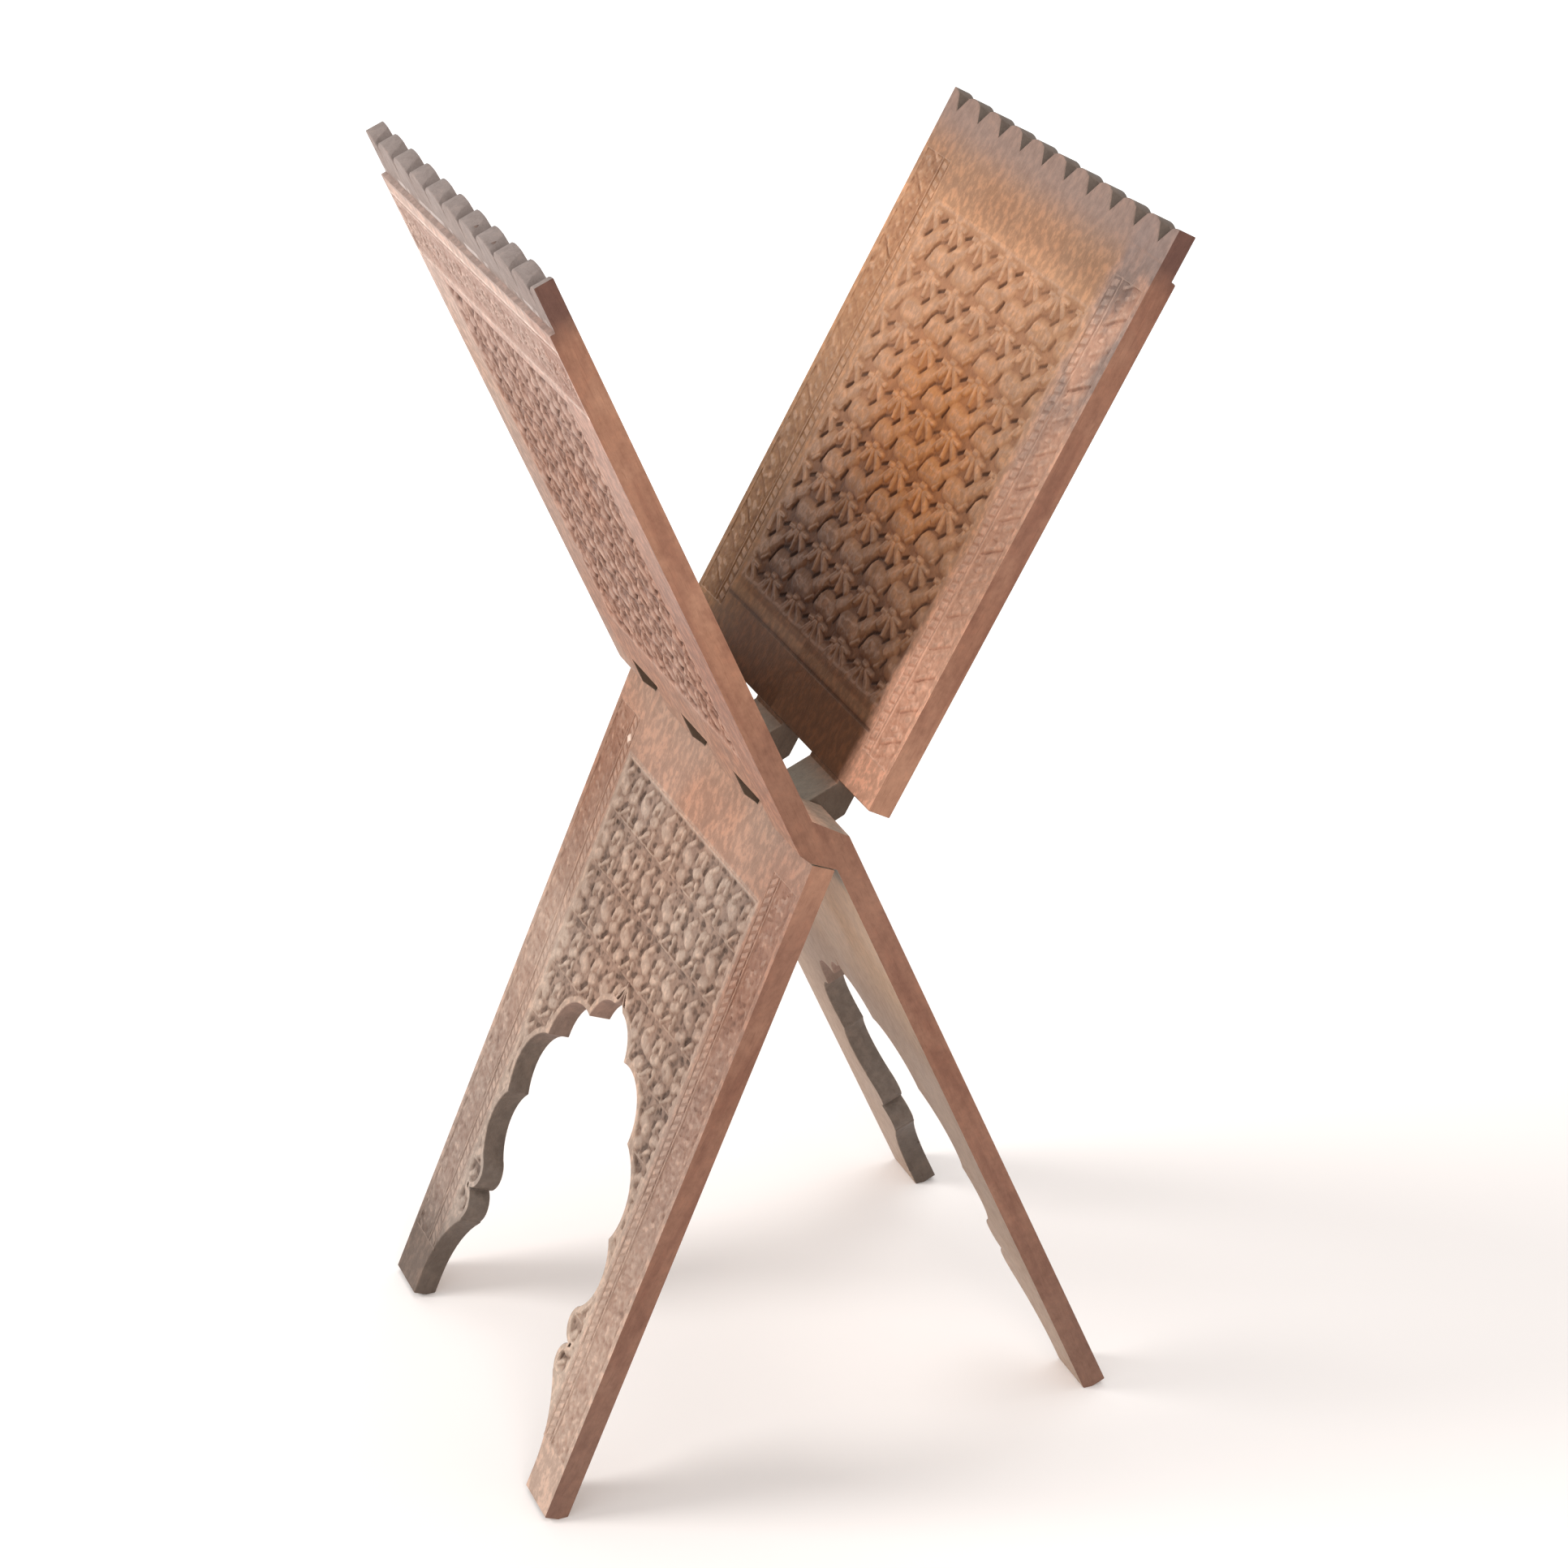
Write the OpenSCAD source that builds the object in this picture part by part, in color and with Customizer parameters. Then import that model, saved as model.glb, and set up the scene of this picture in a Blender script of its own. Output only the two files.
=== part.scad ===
// Folding book stand sawn and carved from one plank.
// Two boards cross at a wooden fold: each one is a leaf above and a leg below,
// joined through its own knuckles, which pass between the other board's knuckles.
// There is no pin, glue or metal. Lengths are in millimetres.
//
// The fold line runs along Y, the reader sits at -Y, and Z = 0 is the floor.
// Each board is drawn upright first: X is the distance out from the plane in
// which the plank was split, Y runs along the fold, and Z is the height above it.

/* [Boards] */
// Width of both boards, measured along the fold
board_w = 200; // [160:1:260]
// Thickness of the plank before it is split into leaves and legs
plank_t = 21; // [18:0.5:26]
// Width of the saw cut that splits the plank
saw_cut = 0.8; // [0.6:0.1:1.4]
// Length of a leaf from the fold line to the tips of its crest
leaf_len = 278.5; // [240:0.5:340]
// Length of a leg from the fold line to its sole
leg_len = 302; // [270:1:360]
// Height of wood worn off the inner edge of each sole
sole_wear = 1.5; // [0.8:0.1:2.5]

/* [Fold] */
// Angle between the two boards when the stand is open
open_angle = 46; // [36:1:56]
// Extra lean that the leaf of the three-knuckle board has taken with age
set_angle = 6.6; // [0:0.1:8]
// Number of columns along the fold, shared in turn by the two boards
columns = 7; // [5:2:9]
// Running gap between neighbouring knuckles, along the fold
side_gap = 0.6; // [0.4:0.1:1.2]
// Gap left at the stop faces when the stand is open
stop_gap = 0.3; // [0.2:0.1:0.8]
// Gap between a knuckle's shoulder and the end of the other leaf
leaf_gap = 1.6; // [1:0.1:4]

/* [Crest] */
// Number of scallops across a leaf
scallops = 10; // [6:1:16]
// Rise of each scallop
scallop_rise = 5; // [3:0.5:7]
// Height of the thinner crest at the top of a leaf
crest_h = 19; // [14:0.5:30]
// Thickness of the crest
crest_t = 7.9; // [5:0.1:9]
// Depth of the notch between two scallops, on the book face
notch_d = 8.2; // [6:0.1:10]
// Slope of the notch as it rises towards the outer face
notch_slope = 18; // [5:1:30]
// Half of the angle between the two sides of a notch
notch_half_angle = 36; // [25:1:45]

/* [Arch] */
// Width of each foot at the sole
foot_w = 24; // [18:0.5:36]
// Height of the arch's point above the sole
arch_h = 193; // [150:1:220]
// Bulge of each large foil beyond the line between its cusps
foil_bulge = 9.5; // [6:0.5:12]
// Radius of the two beads on each side of the arch's neck
bead_r = 9; // [6:0.5:10]

/* [Carved faces] */
// Depth to which the chips of the lattice are cut
field_d = 1.7; // [1:0.1:2.5]
// Depth of the lattice's own surface below the board's face
lattice_d = 0.5; // [0.2:0.1:0.9]
// Distance from rosette to rosette in the lattice
rosette = 23.5; // [18:0.5:30]
// Height of one row of rosettes on the outer faces, where they stand wider
outer_row = 24.8; // [18:0.1:32]
// Depth of the sunk borders beside the field
border_d = 0.9; // [0.5:0.1:1.4]
// Plain rim left along the edges of a board and around its arch
rim = 2.5; // [1.5:0.1:4]
// Width of a side border, from the rim to the raised line beside the field
border_w = 23; // [14:0.5:30]
// Width of the raised line between border and field
line_w = 2.5; // [1.5:0.1:4]
// Plain band between the crest and the field, on the book face
book_top_band = 23; // [15:0.5:40]
// Plain band between the leaf's lower end and the field, on the book face
book_foot_band = 32; // [20:0.5:50]
// Plain band between the crest and the first border, on the outer face
outer_top_band = 8; // [4:0.5:20]
// Height of the scroll border under that band
scroll_h = 27; // [18:0.5:40]
// Plain band between the leaf's lower end and the field, on the outer face
outer_foot_band = 21; // [12:0.5:40]
// Plain band under the fold, on the outer face of a leg
leg_band = 30; // [20:0.5:45]
// Height above the sole at which the leg's field ends
leg_field_foot = 48; // [40:1:70]

/* [Hidden] */
$fn = 96;
over = 1;                                  // how far a cutter runs past a face

// Plank and fold, derived
lean = open_angle / 2;
panel_t = (plank_t - saw_cut) / 2;         // thickness of a leaf or a leg
face_in = saw_cut / 2;                     // split face, from the middle plane
face_out = face_in + panel_t;              // outer face, from the middle plane
column_w = board_w / columns;
shoulder_low = 1.03 * panel_t;             // shoulder on the leg's outer face
shoulder_high = 2.48 * panel_t;            // shoulder on the book face
leaf_foot = shoulder_high + leaf_gap;      // lower end of a leaf
bevel_start = 1.12 * panel_t;              // end of the stop face, from the fold
bevel_end = 1.4 * panel_t;                 // bevel's end on the leaf's outer face
root_depth = panel_t;                      // how far a knuckle runs into its leg
field_half = board_w / 2 - rim - border_w - line_w;
rosettes_half = floor(field_half / rosette);  // whole rosettes on each side
chip_near = 0.2;                           // ends of a chip from the middle between
chip_far = 0.4;                            // four rosettes, as shares of their distance
chip_half = 0.25;                          // half of a chip's width, in the same shares

// Crest, derived
crest_foot = leaf_len - crest_h;
scallop_w = board_w / scallops;
scallop_r = (pow(scallop_w / 2, 2) + pow(scallop_rise, 2)) / (2 * scallop_rise);
valley = leaf_len - scallop_rise;          // height at which two scallops meet
chip_foot = leaf_len - 1.25 * notch_d;     // lower end of the chips on the outer face
chip_slope = 55;                           // how steeply those chips are cut

// Arch, derived. Its places are shares of the half width and of the height,
// from the middle of the sole's line.
arch_half = board_w / 2 - foot_w;
point_side = [0.02, 0.975];
cusps = [[0.060, 0.961], [0.272, 0.885], [0.634, 0.764], [0.829, 0.575], [0.816, 0.405]];
bulge_shares = [0.4, 1, 1, 0.75];          // of foil_bulge, from the point down
neck_back = [[0.87, 0.33], [0.80, 0.25]];  // wood cut away behind the beads
bead_places = [[0.757, 0.365], [0.772, 0.277]];
neck_foot = 0.25 * arch_h;                 // where the foot's curve starts
neck_in = 0.22 * arch_half;                // how far the neck stands inside the feet
foot_upright = 0.052 * arch_h;              // upright part of a foot's inner side
foot_rise = neck_foot - foot_upright;
foot_curve_r = (foot_rise * foot_rise + neck_in * neck_in) / (2 * neck_in);

// Stand, derived
fold_h = leg_len * cos(lean) - face_in * sin(lean) - sole_wear;
function reach(out, up, angle) = out * cos(angle) + up * sin(angle);
leg_reach = reach(face_out, leg_len, lean);
function leaf_reach(angle) = max(reach(face_in + crest_t, leaf_len, angle),
                                 reach(face_out, crest_foot, angle));
reach_right = max(leg_reach, leaf_reach(lean + set_angle));
reach_left = max(leg_reach, leaf_reach(lean));
fold_x = (reach_left - reach_right) / 2;

// A point of the leaf, leaned out by angle, as seen in the leg's own frame
function turned(out, up, angle) = [out * cos(angle) + up * sin(angle),
                                   up * cos(angle) - out * sin(angle)];

// A place in the arch, from its shares of the half width and the height
function arch_at(p, side) = [side * p[0] * arch_half, p[1] * arch_h - leg_len];

// Centre and radius of the circle through two points with a given bulge
function bulge_r(p, q, b) = (pow(norm(q - p) / 2, 2) + b * b) / (2 * b);
function bulge_centre(p, q, b, side) =
    let (along = (q - p) / norm(q - p))
    (p + q) / 2 + side * (bulge_r(p, q, b) - b) * [along[1], -along[0]];

// Extrude a drawing of the board's side view along the fold
module along_fold(width) {
    rotate([90, 0, 0])
        linear_extrude(width, center = true) children();
}

// Extrude a drawing of the board's face through x0 to x1
module through(x0, x1) {
    translate([x0, 0, 0]) rotate([90, 0, 90])
        linear_extrude(x1 - x0) children();
}

// Plain rectangle of a face: half width, lower and upper height
module face_area(half, low, high) {
    translate([-half, low]) square([2 * half, high - low]);
}

// One knuckle in side view: leaf above, leg below, stop face and shoulder between
module knuckle_profile(set) {
    polygon([
        turned((face_in + face_out) / 2, leaf_foot + over, set),
        turned(face_out, leaf_foot, set),
        turned(face_out, bevel_end, set),
        [bevel_start * cos(open_angle), bevel_start * sin(open_angle)],
        [-face_in, -face_in * tan(open_angle)],
        [-face_in, -root_depth],
        [-face_out, -root_depth],
        [-face_out, shoulder_low],
        turned(face_in, shoulder_high, set),
        turned(face_in, leaf_foot, set)
    ]);
}

// The knuckles of one board: every second column, starting with first
module knuckles(first, set) {
    for (i = [first : 2 : columns - 1]) {
        low = (i == 0) ? 0 : side_gap / 2;
        high = (i == columns - 1) ? 0 : side_gap / 2;
        width = column_w - low - high;
        translate([0, -board_w / 2 + i * column_w + low + width / 2, 0])
            along_fold(width) knuckle_profile(set);
    }
}

// Scalloped outline of the crest
module crest_outline() {
    intersection() {
        face_area(board_w / 2, crest_foot - over, leaf_len);
        union() {
            face_area(board_w / 2, crest_foot - over, valley);
            for (i = [0 : scallops])
                translate([-board_w / 2 + i * scallop_w, leaf_len - scallop_r])
                    circle(scallop_r);
        }
    }
}

// V notches between the scallops, deep on the book face
module crest_notches() {
    top = 3 * notch_d;
    half = top * tan(notch_half_angle);
    for (i = [0 : scallops - 1])
        translate([face_in, -board_w / 2 + (i + 0.5) * scallop_w, leaf_len - notch_d])
            rotate([0, -notch_slope, 0])
                through(-crest_t, 2 * crest_t)
                    polygon([[0, 0], [half, top], [-half, top]]);
}

// Small chips at the outer ends of the notches
module outer_chips() {
    top = 2 * notch_d;
    half = top * tan(notch_half_angle) / 2;
    for (i = [0 : scallops - 1])
        translate([face_in + crest_t, -board_w / 2 + (i + 0.5) * scallop_w, chip_foot])
            rotate([0, chip_slope, 0])
                through(-crest_t / 2, crest_t)
                    polygon([[0, 0], [half, top], [-half, top]]);
}

// Pointed arch with foils, cusps and beads; grow widens it all round
module arch_outline(grow) {
    difference() {
        union() {
            for (side = [-1, 1]) {
                points = [for (c = cusps) arch_at(c, side)];
                back = [for (b = neck_back) arch_at(b, side)];
                polygon(concat(
                    [arch_at([0, 1], side) + [0, 2 * grow],
                     arch_at(point_side, side) + [0, grow]],
                    points, back,
                    [[back[1][0], -leg_len - over], [0, -leg_len - over]]));
                // the foils, from the point down to the neck
                for (i = [0 : len(bulge_shares) - 1]) {
                    bulge = bulge_shares[i] * foil_bulge;
                    translate(bulge_centre(points[i], points[i + 1], bulge, side))
                        circle(bulge_r(points[i], points[i + 1], bulge) + grow);
                }
                // long curve from the neck to the upright part of the foot
                intersection() {
                    translate([side * (arch_half - foot_curve_r), foot_upright - leg_len])
                        circle(foot_curve_r + grow);
                    translate([-board_w / 2, -leg_len - over])
                        square([board_w, neck_foot + bead_r]);
                }
                translate([side > 0 ? 0 : -arch_half - grow, -leg_len - over])
                    square([arch_half + grow, foot_upright + over]);
            }
        }
        for (side = [-1, 1], b = bead_places)
            translate([side * (b[0] * arch_half + bead_r), arch_at(b, side)[1]])
                circle(bead_r - grow);
    }
}

// Three-cornered chips of the lattice, four between any four rosettes. The lowest
// row of rosettes stands half a row above low, and chips stay inside the field.
module chips(low, high, row) {
    intersection() {
        face_area(field_half - line_w / 2, low + line_w / 2, high - line_w / 2);
        for (i = [-rosettes_half : rosettes_half - 1], j = [0 : ceil((high - low) / row)])
            translate([(i + 0.5) * rosette, low + j * row]) scale([rosette, row])
                for (turn = [0 : 90 : 270]) rotate(turn)
                    polygon([[0, chip_near], [chip_half, chip_far], [-chip_half, chip_far]]);
    }
}

// Sunk borders on both sides of a face, from low to high
module side_borders(low, high) {
    for (side = [-1, 1])
        translate([side * (board_w / 2 - rim - border_w / 2), low])
            translate([-border_w / 2, 0]) square([border_w, high - low]);
}

// Sunk fields and borders of a leaf
module leaf_carving() {
    through(face_in - over, face_in + lattice_d)
        face_area(field_half, leaf_foot + book_foot_band, crest_foot - book_top_band);
    through(face_in, face_in + field_d)
        chips(leaf_foot + book_foot_band, crest_foot - book_top_band, rosette);
    through(face_in - over, face_in + border_d)
        side_borders(leaf_foot + book_foot_band / 2, crest_foot - book_top_band / 3);
    outer_high = crest_foot - outer_top_band - scroll_h - 2 * line_w;
    through(face_out - lattice_d, face_out + over)
        face_area(field_half, leaf_foot + outer_foot_band, outer_high);
    through(face_out - field_d, face_out)
        chips(leaf_foot + outer_foot_band, outer_high, outer_row);
    through(face_out - border_d, face_out + over)
        face_area(board_w / 2 - rim, crest_foot - outer_top_band - scroll_h - line_w,
                  crest_foot - outer_top_band);
}

// Sunk field and borders of a leg
module leg_carving() {
    through(-face_out - over, -face_out + lattice_d)
        difference() {
            face_area(field_half, leg_field_foot - leg_len, -leg_band);
            arch_outline(rim);
        }
    through(-face_out, -face_out + field_d)
        difference() {
            chips(leg_field_foot - leg_len, -leg_band, outer_row);
            arch_outline(rim + line_w);
        }
    through(-face_out - over, -face_out + border_d)
        side_borders(leg_field_foot / 2 - leg_len, -leg_band / 2);
}

module leaf(set) {
    rotate([0, set, 0])
        difference() {
            union() {
                through(face_in, face_out)
                    face_area(board_w / 2, leaf_foot, crest_foot);
                through(face_in, face_in + crest_t) crest_outline();
            }
            crest_notches();
            outer_chips();
            leaf_carving();
        }
}

module leg() {
    difference() {
        through(-face_out, -face_in)
            face_area(board_w / 2, -leg_len, -stop_gap);
        through(-face_out - over, -face_in + over) arch_outline(0);
        leg_carving();
        // flat worn on the inner edge of the soles
        rotate([0, -lean, 0])
            translate([-leg_len, -board_w, -fold_h - leg_len])
                cube([2 * leg_len, 2 * board_w, leg_len]);
    }
}

// One whole board, upright, with its knuckles in every second column
module board(first, set) {
    leaf(set);
    knuckles(first, set);
    leg();
}

// Board whose leaf leans to the left, with a knuckle at each end of the fold
module four_knuckle_board() {
    color("#9a6f55")
        translate([fold_x, 0, fold_h]) mirror([1, 0, 0]) rotate([0, lean, 0])
            board(0, 0);
}

// Board whose leaf leans to the right, with its knuckles in between
module three_knuckle_board() {
    color("#a8795c")
        translate([fold_x, 0, fold_h]) rotate([0, lean, 0])
            board(1, set_angle);
}

four_knuckle_board();
three_knuckle_board();
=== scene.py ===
import math
import bmesh
import bpy
import numpy as np
from mathutils import Matrix, Vector


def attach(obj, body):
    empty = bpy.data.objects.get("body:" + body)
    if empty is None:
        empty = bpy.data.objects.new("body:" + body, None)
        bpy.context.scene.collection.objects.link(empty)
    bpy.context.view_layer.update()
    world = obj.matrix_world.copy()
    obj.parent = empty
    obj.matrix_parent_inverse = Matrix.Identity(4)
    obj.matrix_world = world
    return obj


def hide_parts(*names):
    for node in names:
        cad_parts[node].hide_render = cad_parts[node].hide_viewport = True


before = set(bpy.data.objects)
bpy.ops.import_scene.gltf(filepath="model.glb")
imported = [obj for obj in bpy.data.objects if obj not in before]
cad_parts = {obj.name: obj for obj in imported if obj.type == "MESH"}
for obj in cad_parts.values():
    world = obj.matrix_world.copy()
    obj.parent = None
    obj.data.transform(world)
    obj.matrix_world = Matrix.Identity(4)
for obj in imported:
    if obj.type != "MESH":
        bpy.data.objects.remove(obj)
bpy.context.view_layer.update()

# ---- The two boards ------------------------------------------------------------------
# The stand is one plank of brown hardwood, split flat from both ends so that it
# opens into two crossed boards that turn on seven interlocked columns. It is sawn
# with a frame saw, trimmed with a knife, and worn round along every outer edge.
LEAN = math.radians(23.0)                    # lean of each leg
SET = math.radians(6.6)                      # how far the right leaf has fallen open
FOLD = Vector((-8.557, 0.0, 276.336))        # middle of the fold, in mm
ALONG = Vector((0, 1, 0))                    # along the fold, away from the photo's side
SPLIT, FACE = 0.4, 10.5                      # split face and outer face, from the middle
BOARD_HALF = 100.0                           # half the board's width
LEAF_FOOT, CREST_FOOT = 26.65, 259.5         # start and end of a leaf's flat faces
WEAR = {"carved": 0.05, "crest": 0.3, "fold": 0.25, "arch": 0.3, "outer": 0.65}  # rounding
ROUND = 0.3                                  # a wider rounding than this gets two facets
SHARP = math.radians(24)                     # edges that wear reaches
# Carved fields: their edges across the board, then up it; and how deep they are sunk
FIELD_HALF, FIELD_SUNK = 72.0, 1.7
BOOK_FIELD = (-FIELD_HALF, FIELD_HALF, 58.65, 236.5)
OUTER_FIELD = (-FIELD_HALF, FIELD_HALF, 47.65, 219.5)
LEG_FIELD = (-FIELD_HALF, FIELD_HALF, -254.0, -30.0)


class Panel:
    """A leaf or a leg: its directions out of the split, and up the board."""

    def __init__(self, board, side, lean):
        self.board = board
        self.out = Vector((side * math.cos(lean), 0, -math.sin(lean)))
        self.up = Vector((side * math.sin(lean), 0, math.cos(lean)))


RIGHT_LEAF = Panel("three_knuckle_board", 1, LEAN + SET)
LEFT_LEG = Panel("three_knuckle_board", 1, LEAN)
LEFT_LEAF = Panel("four_knuckle_board", -1, LEAN)
RIGHT_LEG = Panel("four_knuckle_board", -1, LEAN)


def open_edges(edges):
    """The edges among these that have a face on one side only."""
    return [e for e in edges if isinstance(e, bmesh.types.BMEdge) and e.is_boundary]


def sink(work, panel, level, inward, box):
    """Clear the plain chips out of a carved field, and leave one flat place for it."""
    gone = []
    for face in work.faces:
        middle = face.calc_center_median() * 1000 - FOLD
        depth = (middle.dot(panel.out) - level) * inward
        if (0.02 < depth < FIELD_SUNK + 0.05 and box[0] - 0.1 < middle.y < box[1] + 0.1
                and box[2] - 0.1 < middle.dot(panel.up) < box[3] + 0.1):
            gone.append(face)
    bmesh.ops.delete(work, geom=gone, context="FACES")
    made = bmesh.ops.extrude_edge_only(work, edges=open_edges(work.edges))["geom"]
    bmesh.ops.translate(work, verts=[v for v in made if isinstance(v, bmesh.types.BMVert)],
                        vec=panel.out * inward * FIELD_SUNK / 1000)
    bmesh.ops.edgeloop_fill(work, edges=open_edges(made))


def worn_edges(work, leaf, leg):
    """The board's edges that are worn round, by where they are."""
    edges = {kind: [] for kind in WEAR}
    for edge in work.edges:
        if len(edge.link_faces) != 2 or edge.calc_face_angle_signed() < SHARP:
            continue
        middle = (edge.verts[0].co + edge.verts[1].co) * 500 - FOLD
        panel = leaf if middle.z > 0 else leg
        walls = [f for f in edge.link_faces if abs(f.normal.dot(panel.out)) < 0.35]
        depth = min([max(v.co.dot(panel.out) for v in f.verts) -
                     min(v.co.dot(panel.out) for v in f.verts) for f in walls] + [1]) * 1000
        height = middle.dot(panel.up)
        within = abs(middle.y) < BOARD_HALF - 0.5
        if abs(height) < LEAF_FOOT + 2:
            kind = "fold"
        elif depth < 3 and height < CREST_FOOT:
            kind = "carved"
        elif height > CREST_FOOT + 1 and within:
            kind = "crest"
        else:
            kind = "arch" if within and height < 0 else "outer"
        edges[kind].append(edge)
    return edges


def worn_board(name, leaf, leg):
    """A copy of a board's solid, with sunk places for its carving and worn edges."""
    work = bmesh.new()
    work.from_mesh(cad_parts[name].data)
    bmesh.ops.remove_doubles(work, verts=work.verts, dist=2e-6)
    sink(work, leaf, SPLIT, 1, BOOK_FIELD)
    sink(work, leaf, FACE, -1, OUTER_FIELD)
    sink(work, leg, -FACE, 1, LEG_FIELD)
    bmesh.ops.recalc_face_normals(work, faces=work.faces)
    for y in (-0.086, 0.0, 0.086):           # parts every flat that has a sunk place in it
        cut = bmesh.ops.bisect_plane(work, geom=work.verts[:] + work.edges[:] + work.faces[:],
                                     dist=2e-6, plane_co=(0, y, 0), plane_no=ALONG)
        for part in cut["geom_cut"]:
            if isinstance(part, bmesh.types.BMEdge):
                part.seam = True
    bmesh.ops.dissolve_limit(work, angle_limit=math.radians(0.7), verts=work.verts,
                             edges=work.edges, delimit={"NORMAL", "SEAM"})
    edges = worn_edges(work, leaf, leg)
    worn = set()
    for kind, width in WEAR.items():
        made = bmesh.ops.bevel(work, geom=[e for e in edges[kind] if e.is_valid],
                               offset=width / 1000, offset_type="OFFSET", affect="EDGES",
                               segments=2 if width > ROUND else 1, profile=0.5, material=-1)
        if kind == "outer":
            worn.update(made["faces"])
    mark = work.faces.layers.float.new("worn")
    for face in worn:
        if face.is_valid:
            face[mark] = 1.0
    mesh = bpy.data.meshes.new(name.replace("_board", "_plank"))
    work.to_mesh(mesh)
    work.free()
    plank = bpy.data.objects.new(mesh.name, mesh)
    bpy.context.scene.collection.objects.link(plank)
    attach(plank, name)
    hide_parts(name)
    return plank


class Wire:
    """A socket in a material, on which sums can be written as they are read."""

    def __init__(self, tree, socket=None):
        self.tree, self.socket = tree, socket

    def node(self, kind, settings=None, sockets=None, out=0):
        made = self.tree.nodes.new(kind)
        for key, value in (settings or {}).items():
            setattr(made, key, value)
        for key, value in (sockets or {}).items():
            if isinstance(value, Wire):
                self.tree.links.new(value.socket, made.inputs[key])
            elif made.inputs[key].type == "RGBA":
                made.inputs[key].default_value = (*value, 1)
            else:
                made.inputs[key].default_value = value
        return Wire(self.tree, made.outputs[out])

    def plain(self, colour):
        """One colour all over, as a start for coats."""
        made = self.node("ShaderNodeRGB")
        made.socket.default_value = (*colour, 1)
        return made

    def maths(self, operation, *values):
        return self.node("ShaderNodeMath", {"operation": operation}, dict(enumerate(values)))

    def __add__(self, other): return self.maths("ADD", self, other)
    def __radd__(self, other): return self.maths("ADD", other, self)
    def __sub__(self, other): return self.maths("SUBTRACT", self, other)
    def __rsub__(self, other): return self.maths("SUBTRACT", other, self)
    def __mul__(self, other): return self.maths("MULTIPLY", self, other)
    def __rmul__(self, other): return self.maths("MULTIPLY", other, self)
    def __neg__(self): return self.maths("MULTIPLY", self, -1)
    def __abs__(self): return self.maths("ABSOLUTE", self)

    def ramp(self, start, end):
        """Smooth step of this value: 0 at the start, 1 at the end."""
        return self.node("ShaderNodeMapRange", {"interpolation_type": "SMOOTHSTEP"},
                         {0: self, 1: start, 2: end})

    def near(self, place, full, none):
        """1 where this value is within full of the place, 0 beyond none."""
        return abs(self - place).ramp(none, full)

    def coats(self, *coats):
        """This colour under coats of others: where each lies, its colour, how it mixes."""
        colour = self
        for mask, other, *how in coats:
            colour = colour.node("ShaderNodeMix", {"data_type": "RGBA",
                                                   "blend_type": how[0] if how else "MIX"},
                                 {0: mask, 6: colour, 7: other}, out=2)
        return colour

    def dot(self, vector):
        return self.node("ShaderNodeVectorMath", {"operation": "DOT_PRODUCT"},
                         {0: self, 1: tuple(vector)}, out=1)


def wood(name, panel, face_tone):
    """Old brown wood. face_tone gives its colour, and what it adds to roughness and bump."""
    material = bpy.data.materials.new(name)
    material.use_nodes = True
    tree = material.node_tree
    shader = tree.nodes["Principled BSDF"]
    start = Wire(tree)
    place = start.node("ShaderNodeTexCoord", out=3)
    here = place.node("ShaderNodeVectorMath", {"operation": "SUBTRACT"},
                      {0: place, 1: tuple(FOLD / 1000)})
    out, across, up = (here.dot(way * 1000) for way in (panel.out, ALONG, panel.up))
    grain = start.node("ShaderNodeCombineXYZ", {}, {0: out, 1: across, 2: up})

    def noise(scale, stretch, detail, roughness, shift):
        """Noise of this many patches per mm, drawn out along the grain."""
        moved = grain.node("ShaderNodeMapping", {"vector_type": "POINT"},
                           {"Vector": grain, "Location": (shift, shift * 1.7, shift * 0.6),
                            "Scale": (1, 1, 1 / stretch)})
        return moved.node("ShaderNodeTexNoise", {"noise_dimensions": "3D"},
                          {"Vector": moved, "Scale": scale, "Detail": detail,
                           "Roughness": roughness})

    clouds, blots = noise(0.02, 1.3, 4, 0.5, 0), noise(0.06, 1.5, 4, 0.6, 9)
    mottle, pores = noise(0.28, 1.3, 4, 0.62, 3), noise(1.9, 14, 2, 0.5, 5)
    streaks, tooling = noise(0.16, 9, 3, 0.55, 14), noise(0.9, 2, 3, 0.6, 21)
    tone, duller, relief = face_tone(start, dict(up=up, across=across, clouds=clouds,
                                                 blots=blots, streaks=streaks, mottle=mottle))
    tone = tone.coats((mottle.ramp(0.44, 0.68) * 0.24, (0.46, 0.36, 0.31), "MULTIPLY"),
                      (mottle.ramp(0.48, 0.30) * 0.38, (1.28, 1.22, 1.18), "MULTIPLY"),
                      (pores.ramp(0.57, 0.68) * 0.22, (0.42, 0.30, 0.24), "MULTIPLY"))
    tree.links.new(tone.socket, shader.inputs["Base Color"])
    dull = 0.55 + clouds.ramp(0.35, 0.65) * 0.16 + duller
    tree.links.new(dull.socket, shader.inputs["Roughness"])
    bump = start.node("ShaderNodeBump", {}, {
        "Strength": 0.5, "Distance": 0.0005,
        "Height": mottle * 0.7 + pores * -0.2 + tooling * 0.8 + relief})
    tree.links.new(bump.socket, shader.inputs["Normal"])
    shader.inputs["Specular IOR Level"].default_value = 0.35
    return material


# Tones of the old wood, of what lies on it, and of painted shade
BROWN = (0.315, 0.155, 0.098)
RED_BROWN = (0.215, 0.090, 0.056)
TAN = (0.405, 0.225, 0.132)
PALE = (0.355, 0.240, 0.180)
ROSY = (0.350, 0.195, 0.138)
HONEY = (0.500, 0.205, 0.064)
ORANGE = (0.440, 0.225, 0.120)
STAIN = (0.098, 0.043, 0.020)
LILAC = (0.240, 0.172, 0.155)
SMOKE = (0.220, 0.175, 0.156)
# painted shade in the crest's notches
NOTCH_SHADE = (0.120, 0.085, 0.064)
# painted shade along the fold and between the columns
FOLD_SHADE = (0.185, 0.162, 0.126)


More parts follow.
